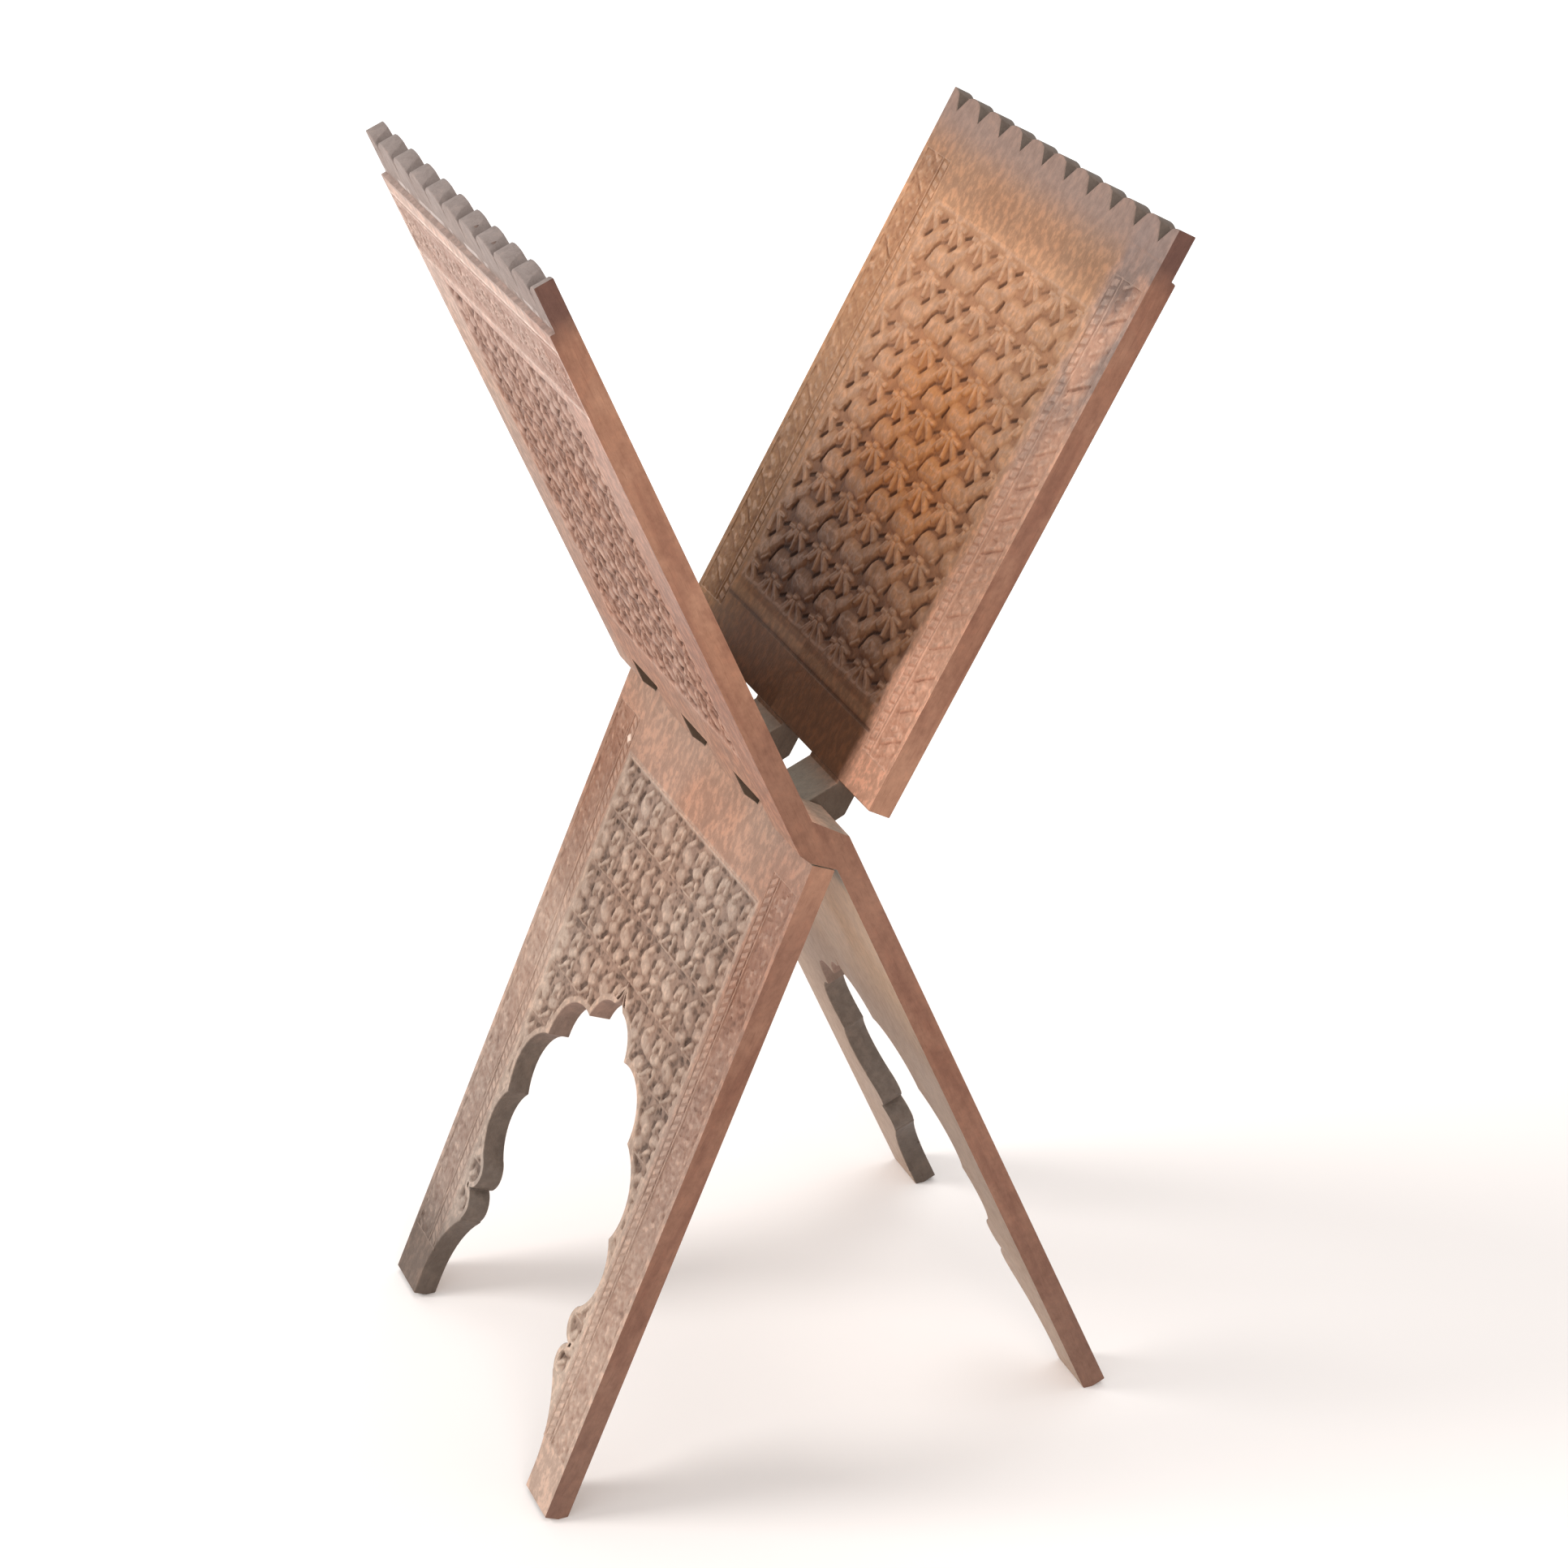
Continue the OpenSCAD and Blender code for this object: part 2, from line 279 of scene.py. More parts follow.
def hollows(start, mottle, share):
    """Depth of the carving, and the coats it brings: grime and painted shade in the cuts, tops
    lighter from wear and painted highlight.
    """
    deep = start.node("ShaderNodeAttribute", {"attribute_name": "carved"}, out=2)
    # raised tops: lighter from wear, and a painted highlight
    rubbed_and_lit = (1 - deep.ramp(0.05, 0.20)) * mottle.ramp(0.54, 0.40)
    ridge = deep.ramp(0.018, 0.030) * deep.ramp(0.16, 0.06)
    # cuts darkened with grime and painted shade; tops and the ridge lightened with wear and
    # painted highlight
    return deep, ((deep.ramp(0.14, 0.50) * 0.42, (0.62, 0.44, 0.37), "MULTIPLY"),
                  (deep.ramp(0.40, 0.90) * share, (0.12, 0.080, 0.060), "MULTIPLY"),
                  (rubbed_and_lit * 0.5, (1.50, 1.42, 1.38), "MULTIPLY"),
                  (ridge * 0.22, (0.42, 0.30, 0.235)))


def book_tone(stained):
    """Upper face of a leaf: tan above, honey where pages wore it, stained below."""
    def tone(start, at):
        up, across, blots = at["up"], at["across"], at["blots"]
        if stained:
            spread = up + blots * 46 - 23
            used = (
                (spread.ramp(262, 205) * (across + blots * 40).ramp(-110, -20) * 0.6, ORANGE),
                (spread.ramp(205, 170) * spread.ramp(95, 135) * across.near(-4, 20, 64) * 0.85,
                 HONEY),
                # the stain, which is darkest at the foot of the leaf, and a strip worn pale
                ((up - across * 0.22 + blots * 60 - 30).ramp(152, 62) * 0.93, STAIN),
                (up.ramp(64, 48) * (-across).ramp(98, 60) * 0.6, STAIN),
                (up.near(54.0, 1.2, 2.8) * abs(across).ramp(76, 73) * 0.4,
                 (0.22, 0.125, 0.072)))
        else:
            used = ((up.ramp(150, 45) * 0.6, BROWN),)
        near = (-across + blots * 12).ramp(74, 84)
        grime = (across + blots * 24).ramp(62, 100) * up.ramp(240, 120)
        line = up.near(50.2, 0.3, 1.0) * abs(across).ramp(75, 73)
        deep, carved = hollows(start, at["mottle"], 0.80)
        colour = start.plain(TAN).coats(
            (at["clouds"].ramp(0.4, 0.62) * 0.7, (0.40, 0.215, 0.125)),
            *used,
            # near border: paler below, greyed above
            (near * up.ramp(26, 70) * 0.85, (0.56, 0.325, 0.245)),
            (near * up.ramp(130, 70) * 0.7, (0.92, 0.55, 0.42)),
            (near * up.ramp(150, 205) * blots.ramp(0.34, 0.62) * 0.9, LILAC),
            ((-across).ramp(20, 50) * up.ramp(150, 200), (0.88, 0.90, 0.91), "MULTIPLY"),
            # far border: grime of long use
            (grime * 0.6, (0.20, 0.105, 0.048)),
            # the scored line at the foot, and the band under the crest with its own line
            (line * 0.55, (0.05, 0.025, 0.015)),
            (up.ramp(235, 247), (0.72, 0.69, 0.68), "MULTIPLY"),
            (up.near(264.5, 0.25, 0.7) * 0.3, BROWN),
            # old oil yellows all of it
            (1.0, (1.0, 0.97, 0.88), "MULTIPLY"),
            *carved)
        return colour, deep * 0.12, line * -1.2 - deep * 2.4
    return tone


def pale_tone(start, at):
    """Outer faces: greyish tan, rosier at the board's edges, with grime down the board."""
    up, across, blots = at["up"], at["across"], at["blots"]
    field = abs(across).ramp(74, 72) * abs(up - 8.5).ramp(38, 40)
    far = across.ramp(40, 65)
    lines = up.near(252.0, 0.4, 1.2) + up.near(223.2, 0.4, 1.2)
    deep, carved = hollows(start, at["mottle"], 0.75)
    colour = start.plain(PALE).coats(
        (at["clouds"].ramp(0.4, 0.62) * 0.6, (0.345, 0.205, 0.142)),
        ((-across + blots * 30).ramp(70, 100) * 0.5, ROSY),
        (blots.ramp(0.48, 0.68) * 0.35, (0.255, 0.168, 0.130)),
        # down the leg: darker on the far stile, paler on the near one
        ((-up).ramp(90, 240) * across.ramp(-20, 60) * 0.8, (0.250, 0.180, 0.145)),
        ((-up).ramp(110, 240) * across.ramp(-20, -80) * 0.8, (0.40, 0.285, 0.22)),
        # the carved fields of leg and leaf, and the plain wood round them
        (field * up.ramp(-20, -30), (1.05, 1.13, 1.15), "MULTIPLY"),
        (field * up.ramp(20, 30), (0.98, 0.84, 0.80), "MULTIPLY"),
        ((1 - field) * up.near(-5, 40, 120), (0.89, 0.745, 0.66), "MULTIPLY"),
        ((-across).ramp(35, 62) * up.near(-100, 70, 130), (0.84, 0.84, 0.84), "MULTIPLY"),
        (far * up.near(-65, 25, 55), (0.82, 0.78, 0.75), "MULTIPLY"),
        (far * up.ramp(-95, -125), (1.07, 1.11, 1.13), "MULTIPLY"),
        ((1 - field) * up.near(85, 40, 80), (0.87, 0.84, 0.84), "MULTIPLY"),
        # under the crest, and the far foot, which stood in the wet
        (up.ramp(250, 254) * up.ramp(260, 258) * 0.6, (0.46, 0.27, 0.165)),
        ((-up).ramp(244, 282) * (across + blots * 30).ramp(20, 80) * 0.92,
         (0.100, 0.068, 0.050)),
        # the leaf's upper part, its near stile, and the two lines of the vine
        (up.ramp(150, 250) * 0.75, (0.485, 0.36, 0.31)),
        ((-across).ramp(71, 75) * up.ramp(40, 100), (0.86, 0.75, 0.71), "MULTIPLY"),
        (lines * 0.6, (0.70, 0.56, 0.49)),
        # a pale nick near the fold
        (1 - (abs(up + 26.0) + abs(across - 78.5)).ramp(1.6, 2.8), (0.80, 0.62, 0.50)),
        *carved)
    return colour, deep * 0.12, deep * -2.4


def plank_tone(leaf, leg, stained):
    """The whole board: each of its faces, edges, crest and fold has its own tone."""
    def tone(start, at):
        up, across, blots = at["up"], at["across"], at["blots"]
        normal = start.node("ShaderNodeTexCoord", out=1)
        above = up.ramp(8, 14)
        face = normal.dot(leaf.out) * above + normal.dot(leg.out) * (1 - above)
        book = (-face).ramp(0.5, 0.8) * above
        inner = face.ramp(0.5, 0.8) * (1 - above)
        steep = 1 - abs(face).ramp(0.55, 0.9)
        endwise = abs(normal.dot(ALONG)).ramp(0.5, 0.8)
        side = endwise * abs(across).ramp(98.2, 98.9)
        outer = pale_tone(start, at)[0]
        book_colour, _, line = book_tone(stained)(start, at)
        # sawn and planed edges: redder, with long dark stains
        edge = start.plain(BROWN).coats(
            (at["streaks"].ramp(0.42, 0.66) * 0.6, RED_BROWN),
            (blots.ramp(0.5, 0.7) * 0.5, (0.40, 0.215, 0.14)),
            (up.ramp(10, -50) * 0.75, (0.72, 0.66, 0.64), "MULTIPLY"),
            (up.ramp(30, 100), (0.88, 0.81, 0.77) if stained else (1.10, 1.06, 1.00), "MULTIPLY"),
            (up.ramp(110, 40) * up.ramp(-40, 10),
             (1.20, 1.22, 1.18) if stained else (0.78, 0.73, 0.70), "MULTIPLY"),
            ((-up).ramp(150, 300) * 0.45, (0.150, 0.092, 0.070)),
            (up.ramp(250, 266) * 0.9, (0.115, 0.050, 0.037)))
        # crest: smoke-grey outside, brown on the book face; notch walls smoke-grey, and dark with
        # painted shade on the stained board
        high = up.ramp(256, 262) * (1 - side)
        crumbs = up.near(261.5, 0.7, 1.8) * blots.ramp(0.46, 0.56) * (1 - side) * (1 - book)
        crest = ((high * (1 - book) * 0.85, (0.16, 0.13, 0.105) if stained else SMOKE),
                 (book * up.ramp(250, 270) * 0.8, (0.225, 0.155, 0.130)),
                 # notch walls: painted shade on the stained board
                 (steep * up.ramp(262, 267) * (1 - side) * 0.85, NOTCH_SHADE if stained else SMOKE),
                 (crumbs * 0.7, (0.62, 0.55, 0.52)))
        # painted shade along the fold, on the sawn ends there and round the arch
        joint = up.near(2, 18, 32) * (1 - side)
        fold = joint * up.near(6, 10, 24)
        fold_shade = ((joint * steep * 0.9, FOLD_SHADE),
                (joint * endwise, (0.098, 0.060, 0.038)),
                (fold * ((book + inner) * 0.65 + 0.15), FOLD_SHADE))
        # painted shade on the faces round the arch, darkest towards the feet
        reveal = steep * (-up).ramp(95, 105) * (1 - abs(across).ramp(97, 99))
        shaded = start.plain((0.250, 0.150, 0.115)).coats(
            ((-up + blots * 40).ramp(140, 195), (0.105, 0.076, 0.058)))
        # inner faces of the legs, darker downwards: painted shade under the joint
        inner_shaded = start.plain((0.58, 0.40, 0.265)).coats((up.ramp(-50, -120), (0.36, 0.255, 0.19)))
        worn = start.node("ShaderNodeAttribute", {"attribute_name": "worn"}, out=2)
        colour = outer.coats((book, book_colour), (inner, inner_shaded), (side, edge), *crest, *fold_shade,
                             (reveal * 0.85, shaded),
                             (worn * blots.ramp(0.35, 0.6) * 0.4, (0.56, 0.38, 0.28)))
        return colour, side * 0.05, line * book
    return tone


def dress(piece, panel, tone):
    """Give a piece its own wood."""
    piece.data.materials.clear()
    piece.data.materials.append(wood(piece.name + "_wood", panel, tone))


dress(worn_board("four_knuckle_board", LEFT_LEAF, RIGHT_LEG), LEFT_LEAF,
      plank_tone(LEFT_LEAF, RIGHT_LEG, False))
dress(worn_board("three_knuckle_board", RIGHT_LEAF, LEFT_LEG), RIGHT_LEAF,
      plank_tone(RIGHT_LEAF, LEFT_LEG, True))

# ---- Carved lattice of the book faces ------------------------------------------------
# The upper face of each leaf carries a lattice of rosettes, cut with small gouges
# almost flush with the plain wood. Deep holes stand where the petals part, and a long
# curved cut runs round the shoulder of every other rosette.
GRID = 0.54                                  # spacing of the carved surface's points
FIELD_DEEP, BORDER_DEEP = 1.66, 0.86         # to the bottom of the carving
FLUSH = -0.035                               # height of uncut wood inside a carved place
LAP = 0.6                                    # how far a slab runs under the plain wood
FLOOR_GAP = 0.03                             # wood left under the deepest cuts
PITCH = 23.5                                 # from rosette to rosette
LOWEST = 69.9                                # height of the middles of the lowest rosettes
# Gouge cuts, in mm from the corner between four rosettes: start, end, half width, depth
CORNER = ((-2.9, 8.3, 1.2, 6.2, 1.25, 1.6), (5.2, 1.1, 8.1, -1.5, 1.35, 1.6))
SHOULDER = ((-11.1, 1.4, -9.4, 0.1, 1.2, 1.3), (-9.4, 0.1, -5.8, -1.1, 1.2, 1.35),
            (-5.8, -1.1, -3.6, -3.6, 1.3, 1.4), (-3.6, -3.6, -2.5, -6.6, 1.3, 1.45),
            (-2.5, -6.6, -0.9, -9.5, 1.45, 1.6), (-0.9, -9.5, 1.6, -11.4, 1.0, 1.0))
LOWER = ((-0.4, -5.9, 1.3, -10.0, 1.35, 1.5), (-9.6, 2.2, -5.8, 1.1, 1.0, 0.75))
# Raised forms, as start, end and half width: a smooth shoulder over a fan of petals, from
# the middle of a rosette, and a boss between four of them
PETALS = ((-5.5, 5.2, 5.5, 5.2, 5.4), (-3.2, -3.2, -8.8, -8.4, 2.1),
          (-0.4, -3.6, -1.4, -10.8, 1.7), (1.4, -3.6, 4.9, -8.8, 1.9),
          (4.6, -5.2, 8.8, -10.8, 1.5), (3.6, -2.9, 7.4, -3.4, 1.5),
          (-4.2, -2.7, -8.4, -2.9, 1.5), (-10.6, 3.8, -7.2, 0.8, 1.2),
          (-1.5, -1.2, 1.5, -1.2, 1.7))
BOSS = ((-1.5, 0.5, 2.5, -2.5, 4.2),)


def rise(x, start, end):
    t = np.clip((x - start) / (end - start), 0, 1)
    return t * t * (3 - 2 * t)


def blend(low, high, share):
    return low + (high - low) * share


def chance(a, b, seed):
    """A steady pseudo-random number from -1 to 1 for each whole a and b."""
    n = np.sin(a * 127.1 + b * 311.7 + seed * 74.7) * 43758.5453
    return 2 * (n - np.floor(n)) - 1


def rough(y, s, size, seed):
    """Smooth hand-cut unevenness from -1 to 1, in patches of about this size."""
    y, s = y / size, s / size
    i, j = np.floor(y), np.floor(s)
    fy, fs = rise(y - i, 0, 1), rise(s - j, 0, 1)
    low = blend(chance(i, j, seed), chance(i + 1, j, seed), fy)
    high = blend(chance(i, j + 1, seed), chance(i + 1, j + 1, seed), fy)
    return blend(low, high, fs)


def from_stroke(x, z, x0, z0, x1, z1):
    """Distance from a straight stroke between two points."""
    run_x, run_z = x1 - x0, z1 - z0
    t = np.clip(((x - x0) * run_x + (z - z0) * run_z) / (run_x ** 2 + run_z ** 2), 0, 1)
    return np.hypot(x - x0 - t * run_x, z - z0 - t * run_z)


def gouge(x, z, cuts):
    """Height left by round-bottomed cuts."""
    height = np.zeros(x.shape)
    for *stroke, half, deep in cuts:
        away = from_stroke(x, z, *stroke)
        height = np.minimum(height, -deep * (1 - rise(away, half * 0.3, half * 1.2)))
    return height


def swelling(x, z, forms, low, high):
    """Height of rounded forms on their ground."""
    full = np.zeros(x.shape)
    for *stroke, half in forms:
        away = from_stroke(x, z, *stroke)
        full = np.maximum(full, 1 - np.minimum(away / half, 1) ** 2)
    return low + (high - low) * full ** 0.7


def rosettes(y, s, seed):
    """Lattice of rosettes and holes, as heights below the board's face."""
    y = y + 0.45 * rough(y, s, 15, seed)
    s = s + 0.45 * rough(y, s, 15, seed + 1)
    u, v = y / PITCH, (s - LOWEST) / PITCH
    x, z = (u - np.round(u)) * PITCH, (v - np.round(v)) * PITCH
    height = swelling(x, z, PETALS, -1.0, -0.04)
    height = height + 0.10 * chance(np.round(u), np.round(v), seed + 3)
    # corner between four rosettes
    i, j = np.floor(u), np.floor(v)
    x, z = (u - i - 0.5) * PITCH, (v - j - 0.5) * PITCH
    height = np.maximum(height, swelling(x, z, BOSS, -1.0, -0.08))
    hard = 1 + 0.18 * chance(i, j, seed + 2)
    height = np.minimum(height, gouge(x, z, CORNER) * hard)
    whirl = np.mod(i + j, 2) < 0.5
    return np.minimum(height, np.where(whirl, gouge(x, z, SHOULDER), gouge(x, z, LOWER)) * hard)


def margin(y, s, box, plain, soft=0.7):
    """0 on the plain rim inside a carved place, rising to 1 within it."""
    edge = np.minimum(np.minimum(y - box[0], box[1] - y), np.minimum(s - box[2], box[3] - s))
    return rise(edge, plain, plain + soft)


def cut_in(height, inside, y, s, seed, deep):
    """Tool marks, let down from the plain rim and kept above the bottom of the carving."""
    height = (height + 0.07 * rough(y, s, 1.1, seed) + 0.10 * rough(y, s, 2.6, seed + 2)
              + 0.08 * rough(y, s, 8, seed + 1) * (height < -0.1))
    return np.clip(blend(FLUSH, height, inside), -deep, FLUSH)


def book_field(y, s):
    worn = rough(y, s, 60, 7) * 0.12 + 0.72 + 0.28 * rise(230 - s - 0.4 * y, 10, 110)
    inside = margin(y, s, BOOK_FIELD, 0.7, 4.5) * np.clip(worn, 0, 1)
    return cut_in(rosettes(y, s, 5), inside, y, s, 8, FIELD_DEEP)


def carved_slab(name, panel, level, facing, box, heights, deep, tone, keep=None, step=GRID):
    """A closed slab with a carved top, let into its sunk place on a board's face.

    box holds the place's edges across and up the board. The slab runs a little way
    under the plain wood around the place, so that its own sides never show.
    """
    y0, y1, s0, s1 = box[0] - LAP, box[1] + LAP, box[2] - LAP, box[3] + LAP
    work = bmesh.new()
    bmesh.ops.create_grid(work, x_segments=int((y1 - y0) / step), y_segments=int((s1 - s0) / step),
                          size=0.5, matrix=Matrix.Translation(((y0 + y1) / 2, (s0 + s1) / 2, 0))
                          @ Matrix.Diagonal((y1 - y0, s1 - s0, 1, 1)))
    if keep:
        middles = np.array([f.calc_center_median() for f in work.faces])
        wanted = keep(middles[:, 0], middles[:, 1])
        gone = [f for f, want in zip(work.faces, wanted) if not want]
        bmesh.ops.delete(work, geom=gone, context="FACES")
    skirt = bmesh.ops.extrude_edge_only(work, edges=open_edges(work.edges))["geom"]
    for vert in skirt:
        if isinstance(vert, bmesh.types.BMVert):
            vert.co.z = -deep - FLOOR_GAP
    bmesh.ops.edgeloop_fill(work, edges=open_edges(skirt))
    bmesh.ops.recalc_face_normals(work, faces=work.faces)
    mesh = bpy.data.meshes.new(name)
    work.to_mesh(mesh)
    work.free()
    places = np.empty(len(mesh.vertices) * 3)
    mesh.vertices.foreach_get("co", places)
    y, s, z = places.reshape(-1, 3).T.copy()
    z = np.where(z > -0.001, heights(y, s), z)
    world = (np.outer(level + facing * z, panel.out) + np.outer(y, ALONG)
             + np.outer(s, panel.up) + np.array(FOLD)) / 1000
    mesh.vertices.foreach_set("co", world.ravel())
    if ALONG.dot(panel.up.cross(panel.out * facing)) < 0:
        mesh.flip_normals()
    depth = mesh.attributes.new("carved", "FLOAT", "POINT")
    depth.data.foreach_set("value", np.clip(-z * 2 / (FIELD_DEEP + deep), 0, 1))
    mesh.update()
    slab = bpy.data.objects.new(name, mesh)
    bpy.context.scene.collection.objects.link(slab)
    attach(slab, panel.board)
    dress(slab, panel, tone)


carved_slab("right_book_lattice", RIGHT_LEAF, SPLIT, -1, BOOK_FIELD, book_field, FIELD_DEEP,
            book_tone(True))
carved_slab("left_book_lattice", LEFT_LEAF, SPLIT, -1, BOOK_FIELD, book_field, FIELD_DEEP,
            book_tone(False))

# ---- Carved borders ------------------------------------------------------------------
# Shallow strips of carving run up both sides of the book faces and of the legs. Next
# to the field is a rope of slanting blocks between lines, then a row of long curved
# leaves that slant outwards. Most of it is worn nearly smooth.
BORDER = (74.5, 97.5)                        # its edges, from the middle of the board
BOOK_ENDS, LEG_ENDS = (42.65, 251.83), (-278, -15)
STRIP_GRID = 0.45
# Each kind of border: its repeat, the slant of its rope, the roughness of its ground, its
# gouge cuts and raised forms, in mm outwards from its inner edge and up from a repeat's end
BOOK_BORDER = (14.14, 0.25, 0.10,
               ((21.7, -1.0, 15.4, -4.4, 0.8, 0.58), (15.4, -4.4, 12.0, -6.6, 0.85, 0.66),
                (12.0, -6.6, 9.2, -7.7, 0.8, 0.56), (9.8, -9.1, 8.9, -9.9, 0.7, 0.42),
                (13.8, -11.0, 10.7, -12.4, 0.75, 0.48)),
               ((20.0, 0.2, 17.2, -0.9, 1.6), (16.0, -2.4, 10.6, -5.6, 1.0),
                (19.6, -6.0, 15.6, -8.4, 1.7), (15.0, -12.6, 12.6, -13.8, 1.2),
                (10.6, -10.2, 9.4, -11.2, 0.9)))
LEG_BORDER = (16.36, 0.7, 0.24,
              ((18.0, -1.0, 12.1, -2.2, 0.9, 0.55), (22.3, -8.0, 20.5, -10.6, 0.9, 0.5),
               (17.0, -13.0, 9.2, -15.4, 0.8, 0.55), (12.2, -9.7, 9.2, -12.2, 0.8, 0.55)),
              ((19.4, -13.4, 17.6, -16.2, 1.2), (15.4, -8.4, 11.5, -9.2, 1.6),
               (17.2, -4.2, 13.6, -5.0, 1.3), (9.6, -5.4, 8.8, -7.6, 0.9),
               (20.8, -3.0, 21.2, -5.6, 1.1)))
FAR_STABBED = 0.22                           # ground of the far borders, which are less worn
ROPE, ROPE_WIDE = 4.13, 5.6                  # from block to block, and across the rope
LINES = (0.55, 6.0, 8.0)                     # grooves beside the rope


def side_border(y, s, ends, kind):
    repeat, slant, stabbed, cuts, forms = kind
    stabbed = np.where(y > 0, FAR_STABBED, stabbed)
    a = np.abs(y) - BORDER[0] + 0.25 * rough(y, s, 9, 31)
    z = np.mod(s + 0.35 * rough(y, s, 14, 32), repeat) - repeat
    height = np.maximum(swelling(a, z, forms, -0.34, -0.05),
                        swelling(a, z + repeat, forms, -0.34, -0.05))
    height = height + stabbed * (rough(a, s, 1.5, 33) + rough(a, s, 2.6, 37) - 0.4)
    hard = 1 + 0.3 * chance(np.floor(s / repeat), 0, 34)
    height = np.minimum(height, np.minimum(gouge(a, z, cuts), gouge(a, z + repeat, cuts)) * hard)
    block = np.abs(np.mod((s - slant * a) / ROPE, 1) - 0.5) * 2
    height = np.where(a < ROPE_WIDE, blend(-0.40, -0.06, rise(block, 0.08, 0.5)), height)
    height = np.where((a > 5.5) & (a < 8.4) | (a < 1.0), -0.05, height)
    groove = np.min([np.abs(a - line) for line in LINES], axis=0)
    height = np.minimum(height, blend(-0.30 - stabbed, 0, rise(groove, 0.2, 0.7)))
    worn = np.clip(0.92 + 0.25 * rough(y, s, 30, 35), 0.4, 1)
    return cut_in(height, margin(np.abs(y), s, (*BORDER, *ends), 0.2) * worn, y, s, 36,
                  BORDER_DEEP)


for tag, panel, level, ends, kind, tone in (
        ("right_book", RIGHT_LEAF, SPLIT, BOOK_ENDS, BOOK_BORDER, book_tone(True)),
        ("left_book", LEFT_LEAF, SPLIT, BOOK_ENDS, BOOK_BORDER, book_tone(False)),
        ("left_leg", LEFT_LEG, -FACE, LEG_ENDS, LEG_BORDER, pale_tone),
        ("right_leg", RIGHT_LEG, -FACE, LEG_ENDS, LEG_BORDER, pale_tone)):
    for hand, y0, y1 in (("near", -BORDER[1], -BORDER[0]), ("far", *BORDER)):
        carved_slab(tag + "_border_" + hand, panel, level, -1, (y0, y1, *ends),
                    lambda y, s: side_border(y, s, ends, kind), BORDER_DEEP, tone,
                    step=STRIP_GRID)

# ---- Outer faces of the leaves -------------------------------------------------------
# Under the crest lies a vine between two lines, and below it rows of smaller rosettes
# parted by raised lines. These faces are paler, because they are held to carry it.
OUTER_VINE = (-97.5, 97.5, 222.0, 251.5)
VINE_HALF, WAVE = 8.5, 17.0                  # half its width, and the length of one wave
VINE_LINE = 12.2                             # from the middle of the vine to its lines
ROW, COLUMN = 24.8, 24.4
# Gouge cuts of one repeat of a row, from its middle column and the raised line above it
ROW_CUTS = ((-4.4, -3.1, -1.8, -6.0, 1.3, 1.0), (-1.8, -6.0, 0.6, -9.3, 1.4, 1.15),
            (0.6, -9.3, 1.6, -11.6, 1.5, 1.5), (1.6, -11.6, 1.6, -14.6, 1.1, 0.9),
            (-1.2, -2.6, 0.4, -3.0, 1.3, 1.4), (-1.2, -20.4, 0.6, -21.6, 1.7, 1.6),
            (4.6, -20.3, 6.0, -20.9, 1.1, 1.1))
EDGE_CUTS = ((-1.2, -2.7, 1.2, -3.3, 1.5, 1.4), (-0.3, -3.6, 0.0, -8.0, 1.1, 0.9),
             (0.0, -8.4, 0.2, -10.4, 1.6, 1.55), (0.0, -10.6, 0.2, -14.6, 1.0, 0.75),
             (-1.0, -18.8, 1.1, -21.5, 1.8, 1.6))
# Raised forms of the same repeat
ROW_FORMS = ((-7.4, -13.4, -4.2, -11.6, 3.9), (-7.8, -4.4, -3.4, -8.4, 1.7),
             (5.2, -13.2, 8.2, -14.6, 2.8), (6.4, -5.6, 8.4, -7.2, 2.3),
             (-7.2, -20.2, -4.4, -21.8, 3.1), (3.4, -17.6, 3.8, -23.0, 1.6),
             (3.6, -5.0, 4.0, -9.6, 1.5), (7.4, -19.0, 11.6, -22.6, 1.4))
EDGE_FORMS = ((-5.0, -19.0, 1.2, -23.8, 1.5), (-3.0, -8.0, -2.6, -11.0, 1.5))


def vine(across, run, half, seed):
    """Running stem, a curled leaf in each bend, and stabbed ground between them."""
    turn = 2 * np.pi * run / WAVE
    stem = np.abs(across - 0.5 * half * np.sin(turn)) / np.sqrt(
        1 + (np.pi * half / WAVE * np.cos(turn)) ** 2)
    bend = np.round(run / (WAVE / 2) - 0.5)
    side = np.where(np.mod(bend, 2) < 0.5, -1, 1)
    x = run - (bend + 0.5) * WAVE / 2 + 0.4 * chance(bend, 0, seed)
    z = across - side * 0.42 * half
    curl = np.hypot(x, z * 1.1)
    swirl = np.abs(np.mod(curl / 1.9 + np.arctan2(z, x) / (2 * np.pi), 1) - 0.5)
    leaf = blend(-0.60, -0.06, rise(swirl, 0.10, 0.34))
    height = -0.58 - 0.24 * rough(across, run, 1.5, seed)
    height = blend(height, leaf, rise(0.27 * WAVE - curl, -0.1, 0.5))
    return np.maximum(height, blend(-0.7, -0.05, 1 - rise(stem, 0.5, 1.3)))


